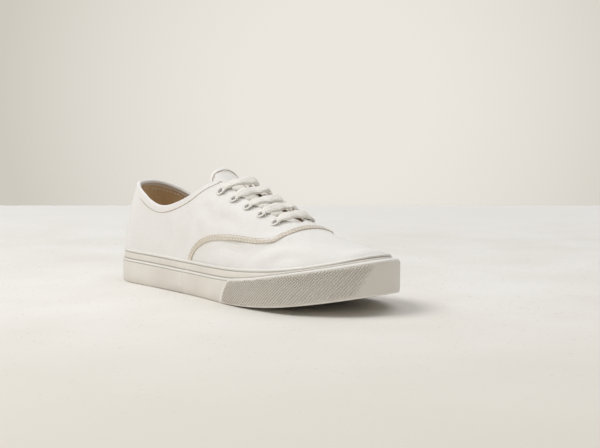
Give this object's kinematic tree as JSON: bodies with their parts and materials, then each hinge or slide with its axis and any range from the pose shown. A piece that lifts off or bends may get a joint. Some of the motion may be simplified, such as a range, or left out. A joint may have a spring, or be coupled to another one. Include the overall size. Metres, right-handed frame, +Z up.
{
  "type": "canvas sneaker",
  "caption": "Low-top lace-up canvas sneaker for the right foot, with a vulcanised rubber wall, a textured toe strip and a lugged flat sole.",
  "frame": {"origin": "centre of the bounding box on the ground plane, under the middle of the sole", "axes": "+X to the toe, +Y to the inner (medial) side of the foot, +Z up"},
  "size_m": [0.2902, 0.104, 0.1006],
  "materials": {
    "canvas": "plain-weave cotton canvas, matt",
    "lace_cotton": "flat woven cotton, matt",
    "footbed": "tan textile over foam, matt",
    "rubber": "off-white vulcanised rubber, satin",
    "toe_rubber": "off-white rubber with a fine moulded texture, satin",
    "eyelet_metal": "pale painted metal"
  },
  "bodies": {
    "root": {"outsole": "rubber", "foxing": "rubber", "toe_bumper": "toe_rubber", "insole": "footbed", "upper": "canvas", "tongue": "canvas", "eyelet_lateral_1": "eyelet_metal", "eyelet_lateral_2": "eyelet_metal", "eyelet_lateral_3": "eyelet_metal", "eyelet_lateral_4": "eyelet_metal", "eyelet_lateral_5": "eyelet_metal", "eyelet_medial_1": "eyelet_metal", "eyelet_medial_2": "eyelet_metal", "eyelet_medial_3": "eyelet_metal", "eyelet_medial_4": "eyelet_metal", "eyelet_medial_5": "eyelet_metal", "lace_bar_1": "lace_cotton", "lace_bar_2": "lace_cotton", "lace_bar_3": "lace_cotton", "lace_bar_4": "lace_cotton", "lace_bar_5": "lace_cotton"}
  },
  "joints": []
}
